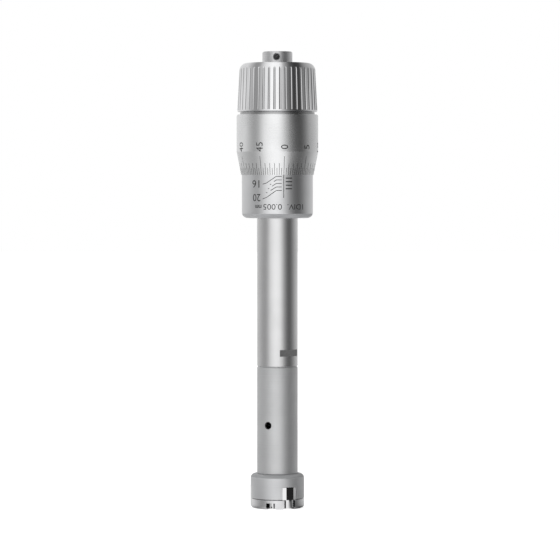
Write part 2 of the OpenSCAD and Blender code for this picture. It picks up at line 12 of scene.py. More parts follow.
import bmesh
import bpy
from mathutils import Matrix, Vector

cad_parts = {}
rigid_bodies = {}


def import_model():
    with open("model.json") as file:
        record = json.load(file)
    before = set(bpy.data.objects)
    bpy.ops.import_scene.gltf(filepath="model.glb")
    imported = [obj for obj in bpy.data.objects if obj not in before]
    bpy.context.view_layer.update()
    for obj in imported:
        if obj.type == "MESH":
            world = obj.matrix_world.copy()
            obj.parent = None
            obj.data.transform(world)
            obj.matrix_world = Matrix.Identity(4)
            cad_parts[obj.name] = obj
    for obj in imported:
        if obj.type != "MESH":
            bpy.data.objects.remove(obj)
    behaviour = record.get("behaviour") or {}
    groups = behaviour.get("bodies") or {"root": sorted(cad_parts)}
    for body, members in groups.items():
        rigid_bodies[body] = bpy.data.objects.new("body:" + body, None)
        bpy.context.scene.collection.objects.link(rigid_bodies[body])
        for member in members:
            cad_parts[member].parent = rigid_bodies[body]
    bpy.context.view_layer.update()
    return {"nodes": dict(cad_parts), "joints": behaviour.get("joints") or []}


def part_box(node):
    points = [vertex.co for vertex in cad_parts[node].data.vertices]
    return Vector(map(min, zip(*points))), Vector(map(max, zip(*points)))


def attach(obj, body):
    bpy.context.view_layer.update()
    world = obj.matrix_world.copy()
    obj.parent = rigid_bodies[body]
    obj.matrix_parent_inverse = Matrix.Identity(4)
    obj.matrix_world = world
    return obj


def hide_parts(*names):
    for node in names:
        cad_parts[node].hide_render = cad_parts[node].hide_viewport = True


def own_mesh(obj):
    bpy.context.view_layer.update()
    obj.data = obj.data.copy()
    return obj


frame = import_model()
MM = 0.001

# %% [markdown]
# Node trees are long when each node is written out. A few helpers keep the lesson readable: `join` draws one
# wire or sets a plain value, `add` makes a node with its settings and wires, and the others make the kinds
# of node that come most often. They work in shader trees and in geometry trees, because the two share their
# calls.

# %% Helpers for node trees
def join(tree, source, target):
    if isinstance(source, (int, float, tuple)):
        target.default_value = source
    else:
        tree.links.new(source, target)


def add(tree, kind, wires=None, **settings):
    made = tree.nodes.new(kind)
    for name, value in settings.items():
        setattr(made, name, value)
    for slot, value in (wires or {}).items():
        join(tree, value, made.inputs[slot])
    return made


def math_node(tree, operation, first, second=0.0, clamp=False):
    made = add(tree, "ShaderNodeMath", {0: first, 1: second}, operation=operation, use_clamp=clamp)
    return made.outputs[0]


def xyz(tree, x, y, z):
    return add(tree, "ShaderNodeCombineXYZ", {"X": x, "Y": y, "Z": z}).outputs[0]


def split(tree, vector):
    return add(tree, "ShaderNodeSeparateXYZ", {0: vector}).outputs


def group_tree(name, kind, inputs, outputs):
    tree = bpy.data.node_groups.new(name, kind)
    for label, socket, value in inputs:
        made = tree.interface.new_socket(label, in_out="INPUT", socket_type=socket)
        if value is not None:
            made.default_value = value
    for label, socket in outputs:
        tree.interface.new_socket(label, in_out="OUTPUT", socket_type=socket)
    return tree, add(tree, "NodeGroupInput").outputs, add(tree, "NodeGroupOutput").inputs


print("helpers ready")

# %% [markdown]
# Every surface of the instrument is bare metal, so the finishes differ only in how the metal was worked.
# Three effects cover them all. Turning leaves fine rings round the axis, blasting leaves a fine even grain,
# and hands leave a soft haze. Each effect is a shader group with named inputs. It gives out only values, and
# the material decides what they do. The rings come from a one-dimensional noise along the axis, because a
# lathe tool leaves the same height all the way round, which a three-dimensional noise wouldn't.

# %% Shared effects
FLOAT, VECTOR, MATERIAL, GEOMETRY = (
    "NodeSocketFloat", "NodeSocketVector", "NodeSocketMaterial", "NodeSocketGeometry")
RING_DETAIL, GRAIN_DETAIL, HAZE_DETAIL = 3.0, 2.0, 4.0
HAZE_RATE, HAZE_STARTS, HAZE_FULL = 0.12, 0.35, 0.7


def noise(tree, where, scale, detail, dimensions="3D"):
    place = "W" if dimensions == "1D" else "Vector"
    wires = {place: where, "Scale": scale, "Detail": detail}
    return add(tree, "ShaderNodeTexNoise", wires, noise_dimensions=dimensions).outputs["Fac"]


def axis_distance(tree, where):
    flat = add(tree, "ShaderNodeVectorMath", {0: where, 1: (1, 1, 0)}, operation="MULTIPLY").outputs[0]
    return add(tree, "ShaderNodeVectorMath", {0: flat}, operation="LENGTH").outputs["Value"]


def effect_tree(name, rate_label, rate, result_label):
    inputs = [("Position mm", VECTOR, None), (rate_label, FLOAT, rate)]
    return group_tree(name, "ShaderNodeTree", inputs, [(result_label, FLOAT)])


def turned_rings_group():
    tree, given, result = effect_tree("turned_rings", "Rings per mm", 4.0, "Rings")
    where = given["Position mm"]
    along = math_node(tree, "ADD", split(tree, where)["Z"], axis_distance(tree, where))
    join(tree, noise(tree, along, given["Rings per mm"], RING_DETAIL, "1D"), result["Rings"])
    return tree


def blasted_grain_group():
    tree, given, result = effect_tree("blasted_grain", "Grains per mm", 5.0, "Grain")
    join(tree, noise(tree, given["Position mm"], given["Grains per mm"], GRAIN_DETAIL), result["Grain"])
    return tree


def handling_haze_group():
    tree, given, result = effect_tree("handling_haze", "Patches per mm", HAZE_RATE, "Haze")
    patches = noise(tree, given["Position mm"], given["Patches per mm"], HAZE_DETAIL)
    wires = {"Value": patches, "From Min": HAZE_STARTS, "From Max": HAZE_FULL}
    soft = add(tree, "ShaderNodeMapRange", wires, interpolation_type="SMOOTHSTEP")
    join(tree, soft.outputs["Result"], result["Haze"])
    return tree


RINGS, GRAIN, HAZE = turned_rings_group(), blasted_grain_group(), handling_haze_group()
print("effects:", RINGS.name, GRAIN.name, HAZE.name)

# %% [markdown]
# A drilled hole, a groove, a notch, the gap under a rim and a rounded edge are dimmed here as painted shade,
# where shade falls into them or they show a darker reflection; a seam is dimmed as a dark joint. A mask
# finds such a place by its distance from the axis, which is less than the skin's, between two heights. On a
# tapered piece the skin leans with the height. The same mask finds a rounded edge, which also draws in from
# the skin. This needs no second mesh and no painting by hand.

# %% Mask for what lies below the skin
# A patch's dim is the share of the tint left inside it: painted shade, and at the head's seam a dark joint.
Patch = namedtuple("Patch", "skin low high dim rough lean", defaults=(0.0, 0.0))
PATCH_BOUNDS = ("skin", "low", "high", "lean")


def below_skin_group():
    inputs = [("Position mm", VECTOR, None)] + [(label, FLOAT, 0.0) for label in PATCH_BOUNDS]
    tree, given, result = group_tree("below_skin", "ShaderNodeTree", inputs, [("Inside", FLOAT)])
    height = split(tree, given["Position mm"])["Z"]
    risen = math_node(tree, "SUBTRACT", height, given["low"])
    skin = math_node(tree, "ADD", given["skin"], math_node(tree, "MULTIPLY", risen, given["lean"]))
    sunk = math_node(tree, "LESS_THAN", axis_distance(tree, given["Position mm"]), skin)
    above = math_node(tree, "GREATER_THAN", height, given["low"])
    below = math_node(tree, "LESS_THAN", height, given["high"])
    between = math_node(tree, "MULTIPLY", above, below)
    join(tree, math_node(tree, "MULTIPLY", sunk, between), result["Inside"])
    return tree


BELOW_SKIN = below_skin_group()
print("effect:", BELOW_SKIN.name)

# %% [markdown]
# A metal is a Principled shader with Metallic at 1. Its colour is nearly the same all over, so what the eye
# reads as a finish is the roughness and the tiny bumps. The recipe below starts from a tint and a roughness
# and lets the three effects push them a little up or down. Then each patch below the skin is dimmed, which is
# painted shade (a dark joint at the seam), and made rougher where it asks for that. A plain roughness number
# would look like plastic film, and an image texture would tie the lesson to a file.

# %% Recipe for worked metal
BUMP_DEPTH = 0.02


def new_material(name):
    material = bpy.data.materials.new(name)
    material.use_nodes = True
    return material, material.node_tree


def in_millimetres(tree):
    where = add(tree, "ShaderNodeTexCoord").outputs["Object"]
    return add(tree, "ShaderNodeMapping", {"Vector": where, "Scale": (1000, 1000, 1000)}).outputs["Vector"]


def paint(tint, share=1.0):
    return (*(share * c for c in tint), 1)


def blend(tree, factor, first, second):
    wires = {"Factor": factor, "A": first, "B": second}
    return add(tree, "ShaderNodeMix", wires, data_type="RGBA").outputs["Result"]


def shift_by(tree, effect, amount):
    return math_node(tree, "MULTIPLY", math_node(tree, "SUBTRACT", effect, 0.5), amount)


def effect_node(tree, group, where, rate):
    return add(tree, "ShaderNodeGroup", {0: where, 1: rate}, node_tree=group).outputs[0]


def patch_node(tree, where, patch):
    wires = {"Position mm": where} | {label: getattr(patch, label) for label in PATCH_BOUNDS}
    return add(tree, "ShaderNodeGroup", wires, node_tree=BELOW_SKIN).outputs["Inside"]


def worked_metal(name, tint, roughness, rings, grain, haze, bump, streak=0.9, patches=()):
    material, tree = new_material(name)
    where = in_millimetres(tree)
    ring = effect_node(tree, RINGS, where, rings[0])
    speck = effect_node(tree, GRAIN, where, grain[0])
    cloud = effect_node(tree, HAZE, where, HAZE_RATE)
    rough = math_node(tree, "ADD", shift_by(tree, ring, rings[1]), shift_by(tree, speck, grain[1]))
    rough = math_node(tree, "ADD", rough, shift_by(tree, cloud, haze))
    rough = math_node(tree, "ADD", rough, roughness, clamp=True)
    worn = math_node(tree, "MULTIPLY", cloud, ring)
    colour = blend(tree, worn, paint(tint), paint(tint, streak))
    # Painted shade: each patch's colour is dimmed to its dim share of the tint (a dark joint at the head's
    # seam).
    for patch in patches:
        inside = patch_node(tree, where, patch)
        colour = blend(tree, inside, colour, paint(tint, patch.dim))
        rubbed = math_node(tree, "MULTIPLY", inside, patch.rough)
        rough = math_node(tree, "ADD", rough, rubbed, clamp=True)
    height = math_node(tree, "ADD", ring, speck)
    relief = add(tree, "ShaderNodeBump", {"Strength": bump, "Distance": BUMP_DEPTH * MM, "Height": height})
    metal = tree.nodes["Principled BSDF"].inputs
    join(tree, 1.0, metal["Metallic"])
    join(tree, colour, metal["Base Color"])
    join(tree, rough, metal["Roughness"])
    join(tree, relief.outputs["Normal"], metal["Normal"])
    return material


print("recipe ready")

# %% [markdown]
# The scales sit on satin chrome, which is blasted before it is plated so that it doesn't dazzle the reader.
# The head and its tube are duller still. The long tube, the end cap and the ratchet's screw are ground or
# turned bright, the knob has a bright chrome plate, and the anvils and the end cap's screws are lapped to a
# mirror. The inner pieces are ground steel, spring wire and a bronze bush. The patches are in millimetres:
# the skin's radius and two heights. Each line of the list hands one finish to the nodes it names.

# %% Finishes on the solids
knob_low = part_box("ratchet_knob")[0].z / MM
# Painted shade: the dim of these patches darkens the knob's grooves, the step under the knob, the tommy and
# spanner holes, the cap's notches, a band on the head's shoulder and, slightly, the sleeve's rounded foot; the
# head's seam is dimmed as a dark joint.
knob_grooves = Patch(11.44, knob_low, knob_low + 12.3, dim=0.75, lean=-0.0507)
step_under_knob = Patch(11.2, 113.01, 113.8, dim=0.5)
tommy_hole = Patch(4.05, 128.3, 130.5, dim=0.5)
sleeve_foot = Patch(10.16, 83.0, 85.0, dim=0.97, rough=0.6)
spanner_hole = Patch(5.8, 22, 26, dim=0.6)
head_shoulder = Patch(7.66, 8.95, 9.9, dim=0.85, rough=0.3)
head_seam = Patch(7.67, 2.7, 2.96, dim=0.4)
cap_notches = Patch(7.0, 0.02, 1.86, dim=0.3)

CHROME, STEEL, MIRROR = (0.76, 0.765, 0.775), (0.72, 0.72, 0.725), (0.82, 0.82, 0.825)
SATIN = dict(rings=(3.0, 0.03), grain=(6.0, 0.05), haze=0.04, bump=0.05)
DULL = dict(rings=(3.0, 0.04), grain=(5.0, 0.06), haze=0.05, bump=0.08)
BRIGHT = dict(grain=(4.0, 0.02), haze=0.05)
INNER = dict(grain=(4.0, 0.04), bump=0.1)
finishes = [
    (["thimble"], worked_metal("satin_chrome_thimble", (0.83, 0.835, 0.84), 0.26, **SATIN,
                               patches=[step_under_knob])),
    (["sleeve"], worked_metal("satin_chrome_sleeve", CHROME, 0.32, **SATIN, patches=[sleeve_foot])),
    (["head_body"], worked_metal("satin_chrome_head", CHROME, 0.62, **DULL,
                                 patches=[head_seam, head_shoulder])),
    (["head_tube"], worked_metal("satin_chrome_tube", (0.72, 0.725, 0.73), 0.6, **DULL,
                                 patches=[spanner_hole])),
    (["main_tube"], worked_metal("ground_tube", STEEL, 0.22, **BRIGHT, rings=(6.0, 0.05), bump=0.04)),
    (["end_cap"], worked_metal("ground_cap", (0.8, 0.8, 0.81), 0.24, **BRIGHT, rings=(5.0, 0.15), bump=0.25,
                               streak=0.7, patches=[cap_notches])),
    (["ratchet_screw"], worked_metal("turned_screw", (0.84, 0.84, 0.85), 0.42, **BRIGHT, rings=(5.0, 0.2),
                                     bump=0.35, streak=0.7, patches=[tommy_hole])),
    (["ratchet_knob"], worked_metal("bright_chrome", (0.82, 0.82, 0.83), 0.09, **BRIGHT, rings=(5.0, 0.03),
                                    bump=0.03, patches=[knob_grooves])),
    (["anvil_1", "anvil_2", "anvil_3", "cone", "thrust_ball", "end_cap_screws"],
     worked_metal("lapped_mirror", MIRROR, 0.04, rings=(8.0, 0.01), grain=(6.0, 0.01), haze=0.02, bump=0.01)),
    (["inner_sleeve", "adjusting_nut", "push_rod", "rod_collar", "spindle", "clamp_washer", "ratchet_plate",
      "ratchet_key_pin"],
     worked_metal("ground_steel", (0.5, 0.5, 0.52), 0.3, **INNER, rings=(5.0, 0.08), haze=0.08)),
    (["leaf_spring_1", "leaf_spring_2", "leaf_spring_3", "rod_spring", "ratchet_spring"],
     worked_metal("spring_wire", (0.4, 0.41, 0.44), 0.35, rings=(2.0, 0.05), grain=(4.0, 0.05), haze=0.1,
                  bump=0.08)),
    (["rod_guide"], worked_metal("bush_bronze", (0.7, 0.5, 0.28), 0.32, **INNER, rings=(5.0, 0.1), haze=0.1)),
]
for names, finish in finishes:
    for name in names:
        slots = frame["nodes"][name].data.materials
        slots.clear()
        slots.append(finish)
print("finished", sum(len(names) for names, finish in finishes), "solids")

# %% [markdown]
# Five springs inside change their length as the instrument moves. A coil's turns only come closer together,
# and a leaf has no room to bend behind its anvil. The record already names each spring, its joint and its
# fixed end. Here each spring gets a welded copy of its mesh, which hangs on its joint's parent body in place
# of the hidden CAD spring; the copy is not flattened or bent.

# %% Springs copied onto their joints
SAME_SPOT = 1e-7


def put(name, data):
    made = bpy.data.objects.new(name, data)
    bpy.context.scene.collection.objects.link(made)
    return made


def live_spring(joint, name):
    mesh = frame["nodes"][name].data.copy()
    welded = bmesh.new()
    welded.from_mesh(mesh)
    bmesh.ops.remove_doubles(welded, verts=welded.verts, dist=SAME_SPOT)
    welded.to_mesh(mesh)
    welded.free()
    spring = put("live_" + name, mesh)
    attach(spring, joint["parent"])
    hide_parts(name)
    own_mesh(spring)


for joint in frame["joints"]:
    for giving in joint.get("deforming_nodes", []):
        live_spring(joint, giving["node"])

# %% [markdown]
# The lines and figures of a micrometer are cut into the metal and filled with a dull black. The fill is
# matt and a little uneven, so it takes the same grain as the blasted chrome under it. Each mark is a thin
# solid, sunk into the metal but for a hair, because two faces at the same height would flicker.

# %% Black fill of the engraving
FILL_DEPTH, FILL_PROUD = 0.03, 0.005
FILL_GRAINS, FILL_ROUGH, FILL_SPREAD = 8.0, 0.5, 0.2


def engraving_fill():
    material, tree = new_material("engraving_fill")
    speck = effect_node(tree, GRAIN, in_millimetres(tree), FILL_GRAINS)
    colour = blend(tree, speck, (0.012, 0.012, 0.013, 1), (0.035, 0.035, 0.037, 1))
    rough = math_node(tree, "ADD", shift_by(tree, speck, FILL_SPREAD), FILL_ROUGH)
    lacquer = tree.nodes["Principled BSDF"].inputs
    join(tree, colour, lacquer["Base Color"])
    join(tree, rough, lacquer["Roughness"])
    return material


black_fill = engraving_fill()
print("fill:", black_fill.name)

# %% [markdown]
# The thimble has a hundred lines round its cone, one for every 0.005 mm. Each tenth line is long, the even
# lines are middling and the odd lines short. This is a rule, so a Geometry Nodes tree makes them: it lays
# points round the edge of the cone, puts a bar on each one, leans the bar with the cone and stretches it by
# its number. Realize Instances makes real faces of the copies, because an export drops instances.

# %% Tree for a graduated ring
RING_SIZES = ("Edge radius", "Edge height", "Lean", "Zero bearing", "Short line", "Middle line", "Long line",
              "Line width", "Depth", "Proud")
LONGER_LINES = ((2.0, "Middle line"), (10.0, "Long line"))


def on_cylinder(tree, bearing, reach, height):
    across = math_node(tree, "MULTIPLY", math_node(tree, "SINE", bearing), reach)
    back = math_node(tree, "MULTIPLY", math_node(tree, "COSINE", bearing), reach)
    return xyz(tree, across, math_node(tree, "MULTIPLY", back, -1.0), height)


def sunk_centre(tree, given):
    return math_node(tree, "SUBTRACT", math_node(tree, "MULTIPLY", given["Depth"], 0.5), given["Proud"])


def coated(tree, geometry, fill):
    real = add(tree, "GeometryNodeRealizeInstances", {0: geometry}).outputs[0]
    return add(tree, "GeometryNodeSetMaterial", {"Geometry": real, "Material": fill}).outputs[0]


def line_length(tree, given, index):
    length = given["Short line"]
    for every, longer in LONGER_LINES:
        chosen = math_node(tree, "LESS_THAN", math_node(tree, "MODULO", index, every), 0.5)
        wires = {"Switch": chosen, "False": length, "True": given[longer]}
        length = add(tree, "GeometryNodeSwitch", wires, input_type="FLOAT").outputs[0]
    return length


def graduated_ring_tree():
    inputs = [("Geometry", GEOMETRY, None), ("Divisions", "NodeSocketInt", 100)]
    inputs += [(label, FLOAT, 0.0) for label in RING_SIZES] + [("Fill", MATERIAL, None)]
    tree, given, result = group_tree("graduated_ring", "GeometryNodeTree", inputs, [("Geometry", GEOMETRY)])
    index = add(tree, "GeometryNodeInputIndex").outputs[0]
    turn = math_node(tree, "DIVIDE", math.tau, given["Divisions"])
    bearing = math_node(tree, "ADD", math_node(tree, "MULTIPLY", index, turn), given["Zero bearing"])
    spot = on_cylinder(tree, bearing, given["Edge radius"], given["Edge height"])
    points = add(tree, "GeometryNodePoints", {"Count": given["Divisions"], "Position": spot})
    bar = add(tree, "GeometryNodeMeshCube", {"Size": xyz(tree, given["Line width"], given["Depth"], 1.0)})
    stand = add(tree, "GeometryNodeTransform", {
        "Geometry": bar.outputs["Mesh"], "Translation": xyz(tree, 0.0, sunk_centre(tree, given), 0.5)})
    copies = add(tree, "GeometryNodeInstanceOnPoints", {
        "Points": points.outputs[0], "Instance": stand.outputs[0],
        "Rotation": xyz(tree, given["Lean"], 0.0, bearing),
        "Scale": xyz(tree, 1.0, 1.0, line_length(tree, given, index))})
    join(tree, coated(tree, copies.outputs[0], given["Fill"]), result["Geometry"])
    return tree


RING_TREE = graduated_ring_tree()
print("tree:", RING_TREE.name, "with", len(RING_TREE.nodes), "nodes")

# %% [markdown]
# A modifier finds its inputs by identifier, so a helper looks the identifier up by the input's name. It then
# evaluates the object once and keeps the result as a plain mesh, with the modifier gone. What the other
# steps see is ordinary geometry.

# %% Run a tree and keep its mesh
def kept_mesh(holder):
    bpy.context.view_layer.update()
    worked_out = holder.evaluated_get(bpy.context.evaluated_depsgraph_get())
    mesh = bpy.data.meshes.new_from_object(worked_out)
    bpy.data.objects.remove(holder)
    return mesh


def grown(name, seed, tree, **values):
    source = put("seed", seed)
    modifier = source.modifiers.new("grow", "NODES")
    modifier.node_group = tree
    identifiers = {item.name: item.identifier for item in tree.interface.items_tree
                   if item.item_type == "SOCKET" and item.in_out == "INPUT"}
    for label, value in values.items():
        modifier[identifiers[label.replace("_", " ")]] = value
    mesh = kept_mesh(source)
    mesh.name = name
    print(name, "has", len(mesh.polygons), "faces")
    return put(name, mesh)


print("ready to run", RING_TREE.name)

# %% [markdown]
# The height of the cone's edge comes from the thimble's own box, and the rest from the drawing: the edge is
# 10.36 mm from the axis, and 6.6 mm further up the wall reaches the barrel's 11.7 mm. The zero line stands
# 10.2 degrees to the right of the front, in line with the datum line of the sleeve. Line lengths are measured
# up the axis, so the lean of the cone stretches them a little.

# %% Lines of the thimble
EDGE_R, BARREL_R, CONE_H = 10.36, 11.7, 6.6
SHORT, MIDDLE, LONG, THIMBLE_LINE = 1.95, 3.3, 5.27, 0.12
ZERO_BEARING = math.radians(10.2)
edge_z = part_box("thimble")[0].z / MM
cone_lean = math.atan2(BARREL_R - EDGE_R, CONE_H)
slant = 1 / math.cos(cone_lean)
thimble_lines = grown(
    "thimble_lines", bpy.data.meshes.new("seed"), RING_TREE, Divisions=100, Edge_radius=EDGE_R * MM,
    Edge_height=edge_z * MM, Lean=cone_lean, Zero_bearing=ZERO_BEARING, Short_line=SHORT * slant * MM,
    Middle_line=MIDDLE * slant * MM, Long_line=LONG * slant * MM, Line_width=THIMBLE_LINE * MM,
    Depth=FILL_DEPTH * MM, Proud=FILL_PROUD * MM, Fill=black_fill)
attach(thimble_lines, "thimble")

# %% [markdown]
# Figures are flat text that is bent round the metal. Blender's own font needs no file. The text becomes a
# thin solid first, is cut into narrow strips so that no face spans the curve as a chord, and is then wrapped:
# its x runs round the cylinder, its y along the axis and its z outwards. Cutting before bending keeps every
# vertex within a few thousandths of a millimetre of the metal.

# %% Bend figures round a cylinder
STRIP = 0.25
FONT_STEPS = 4
FONT_WELD = 1e-5


def flat_figures(text, width, height, weight=0.0):
    curve = bpy.data.curves.new("figures", "FONT")
    curve.body = text
    curve.align_x, curve.align_y = "CENTER", "CENTER"
    curve.extrude = 0.5
    curve.offset = weight
    curve.resolution_u = FONT_STEPS
    mesh = kept_mesh(put("figures", curve))
    shape = bmesh.new()
    shape.from_mesh(mesh)
    bpy.data.meshes.remove(mesh)
    bmesh.ops.remove_doubles(shape, verts=shape.verts, dist=FONT_WELD)
    low = Vector([min(v.co[k] for v in shape.verts) for k in range(3)])
    high = Vector([max(v.co[k] for v in shape.verts) for k in range(3)])
    for v in shape.verts:
        x, y, z = ((v.co[k] - low[k]) / (high[k] - low[k]) for k in range(3))
        v.co = ((x - 0.5) * width, (y - 0.5) * height, FILL_PROUD - (1 - z) * FILL_DEPTH)
    return shape


def wrapped(shape, quarter_turns, radius, arc, height):
    for _ in range(quarter_turns):
        for v in shape.verts:
            v.co = (-v.co.y, v.co.x, v.co.z)
    left = min(v.co.x for v in shape.verts)
    right = max(v.co.x for v in shape.verts)
    for cut in range(1, int((right - left) / STRIP) + 1):
        everything = shape.verts[:] + shape.edges[:] + shape.faces[:]
        bmesh.ops.bisect_plane(shape, geom=everything, plane_co=(left + cut * STRIP, 0, 0),
                               plane_no=(1, 0, 0))
    for v in shape.verts:
        bearing, reach = (arc + v.co.x) / radius, radius + v.co.z
        v.co = Vector((reach * math.sin(bearing), -reach * math.cos(bearing), height + v.co.y)) * MM
    return shape


def engraved(name, shapes, body):
    whole = bpy.data.meshes.new(name)
    gathered = bmesh.new()
    for shape in shapes:
        part = bpy.data.meshes.new("part")
        shape.to_mesh(part)
        shape.free()
        gathered.from_mesh(part)
        bpy.data.meshes.remove(part)
    gathered.to_mesh(whole)
    gathered.free()
    whole.materials.append(black_fill)
    piece = put(name, whole)
    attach(piece, body)
    print(name, "has", len(whole.polygons), "faces")


print("figures are cut into strips of", STRIP, "mm")

# %% [markdown]
# The thimble's figures run from 0 to 45 by fives, one at each long line. They stand on their side, so that
# they are upright when the micrometer is held flat in the hand.

# %% Figures of the thimble
ON_ITS_SIDE, UPSIDE_DOWN = 1, 2
FIGURE_Z, FIGURE_H, FIGURE_W, FIGURE_GAP = 103.6, 2.05, 1.25, 0.2
LONG_LINES = 10
thimble_shapes = []
for step in range(LONG_LINES):
    text = str(5 * step)
    arc = (ZERO_BEARING + math.tau * step / LONG_LINES) * BARREL_R
    flat = flat_figures(text, FIGURE_W * len(text) + FIGURE_GAP * (len(text) - 1), FIGURE_H)
    thimble_shapes.append(wrapped(flat, ON_ITS_SIDE, BARREL_R, arc, FIGURE_Z))
engraved("thimble_figures", thimble_shapes, "thimble")

# %% [markdown]
# The sleeve's marks are strokes that follow a path on a cylinder: a datum line, five millimetre lines whose
# tails sweep down to their figures, four half-millimetre lines, and three dots. Each path is drawn flat as a
# poly curve. A Geometry Nodes tree cuts it into short steps, sweeps a flat bar along it and bends the result
# round the sleeve. The same tree serves both line widths.

# %% Tree for strokes on a cylinder
STROKE_SIZES = ("Radius", "Stroke width", "Depth", "Proud", "Step")


def wrapped_strokes_tree():
    inputs = [("Geometry", GEOMETRY, None)] + [(label, FLOAT, 0.0) for label in STROKE_SIZES]
    inputs += [("Fill", MATERIAL, None)]
    tree, given, result = group_tree("wrapped_strokes", "GeometryNodeTree", inputs, [("Geometry", GEOMETRY)])
    stepped = add(tree, "GeometryNodeResampleCurve", {"Curve": given["Geometry"], "Length": given["Step"]},
                  mode="LENGTH")
    pen = add(tree, "GeometryNodeCurvePrimitiveQuadrilateral", {
        "Width": given["Stroke width"], "Height": given["Depth"]})
    swept = add(tree, "GeometryNodeCurveToMesh", {
        "Curve": stepped.outputs[0], "Profile Curve": pen.outputs[0], "Fill Caps": True})
    flat = split(tree, add(tree, "GeometryNodeInputPosition").outputs[0])
    bearing = math_node(tree, "DIVIDE", flat["X"], given["Radius"])
    outwards = math_node(tree, "ADD", given["Radius"], flat["Z"])
    reach = math_node(tree, "SUBTRACT", outwards, sunk_centre(tree, given))
    bent = on_cylinder(tree, bearing, reach, flat["Y"])
    moved = add(tree, "GeometryNodeSetPosition", {"Geometry": swept.outputs[0], "Position": bent})
    join(tree, coated(tree, moved.outputs[0], given["Fill"]), result["Geometry"])
    return tree


STROKE_TREE = wrapped_strokes_tree()
print("tree:", STROKE_TREE.name, "with", len(STROKE_TREE.nodes), "nodes")

# %% [markdown]
# Distances round the sleeve are in millimetres from the front, and heights are in millimetres above the end
# cap. The datum line runs on under the thimble, so that no gap opens when the thimble is wound up. A
# millimetre line starts at one bearing and runs into its own tail, and a half-millimetre line keeps to the
# other side of the datum line.

# %% Lines of the sleeve
SLEEVE_R = 10.2
DATUM, DATUM_TOP, DATUM_FOOT = ZERO_BEARING * SLEEVE_R, 96.1, 89.15
LINE_START, HALF_START, HALF_END = 1.25, DATUM + 0.58, DATUM + 2.5
HALF_HEIGHTS = (94.75, 93.75, 92.75, 91.75)
THIN, BOLD, STROKE_STEP, DOT = 0.18, 0.3, 0.25, 0.2


def strokes(name, paths, width):
    curve = bpy.data.curves.new(name, "CURVE")
    curve.dimensions = "3D"
    curve.twist_mode = "Z_UP"
    for path in paths:
        spline = curve.splines.new("POLY")
        spline.points.add(len(path) - 1)
        for point, (x, y) in zip(spline.points, path):
            point.co = (x * MM, y * MM, 0, 1)
    piece = grown(name, curve, STROKE_TREE, Radius=SLEEVE_R * MM, Stroke_width=width * MM,
                  Depth=FILL_DEPTH * MM, Proud=FILL_PROUD * MM, Step=STROKE_STEP * MM, Fill=black_fill)
    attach(piece, "frame")


tails = [
    [(-0.3, 95.25), (-3.18, 93.35), (-4.33, 93.05)],
    [(-0.3, 94.25), (-0.97, 93.8)],
    [(-0.3, 93.25), (-1.51, 92.45)],
    [(-0.3, 92.25), (-1.92, 91.25)],
    [(-0.3, 91.25), (-3.09, 89.3), (-4.33, 88.85)],
]
dots = [(-1.95, 93.0), (-2.5, 91.8), (-3.08, 90.65)]
thin_paths = [[(DATUM, DATUM_TOP), (DATUM, DATUM_FOOT)]]
thin_paths += [[(LINE_START, tail[0][1])] + tail for tail in tails]
thin_paths += [[(x - DOT, y), (x + DOT, y)] for x, y in dots]
half_paths = [[(HALF_START, z), (HALF_END, z)] for z in HALF_HEIGHTS]
strokes("sleeve_lines", thin_paths, THIN)
strokes("sleeve_half_lines", half_paths, BOLD)

# %% [markdown]
# The sleeve's figures name the smallest and the largest bore, and a small legend gives the value of one
# division. They are upside down in this view, because the instrument is read with its head pointing away.
# Each line of the table has the text, its width, height and added weight, and its place on the sleeve.

# %% Figures of the sleeve
sleeve_texts = [
    ("16", 2.5, 2.15, 0.0, -6.6, 93.1),
    ("20", 2.6, 2.1, 0.0, -6.3, 89.2),
    ("1DIV.", 5.2, 1.5, 0.0, 5.5, 86.6),
    ("0.005", 5.4, 1.6, 0.0, -1.4, 86.6),
    ("mm", 2.1, 0.85, 0.02, -5.75, 86.75),
]
sleeve_shapes = [wrapped(flat_figures(text, width, height, weight), UPSIDE_DOWN, SLEEVE_R, arc, z)
                 for text, width, height, weight, arc, z in sleeve_texts]
engraved("sleeve_figures", sleeve_shapes, "frame")

# %% [markdown]
# Metal shows its surroundings, so the light of this picture is a tent: a drum whose brightness changes round
# the compass. A bright panel stands beside the camera, a darker one to the left, and a nearly black one to
# the right, which draws the dark stripe down every cylinder. One drum does what a ring of lamps and cards
# would do, without their edges.
#
# A panel's place on the wall isn't its plain compass bearing. It is found from the way a bit of metal has to
# face to show that spot to the camera, so a stripe runs straight up a barrel and on over its rounded edges.

# %% Light of the tent
TENT_R, TENT_H = 0.25, 0.6


def panel_ramp(tree, share, steps):
    panel = add(tree, "ShaderNodeValToRGB", {"Fac": share})
    stops = panel.color_ramp.elements
    stops[0].color = stops[1].color = (*(steps[0][1],) * 3, 1)
    for degrees, level in steps[1:-1]:
        stop = stops.new(degrees / 360 + 0.5)
        stop.color = (level, level, level, 1)
    return panel.outputs["Color"]


def facing_share(tree, where, centre):
    ray = add(tree, "ShaderNodeVectorMath", {0: where, 1: (0, 0, centre)}, operation="SUBTRACT").outputs[0]
    reach = add(tree, "ShaderNodeVectorMath", {0: ray}, operation="LENGTH").outputs["Value"]
    apart = split(tree, where)
    half_turn = math_node(tree, "ARCTAN2", apart["X"], math_node(tree, "SUBTRACT", reach, apart["Y"]))
    return math_node(tree, "ADD", math_node(tree, "DIVIDE", half_turn, math.pi), 0.5)


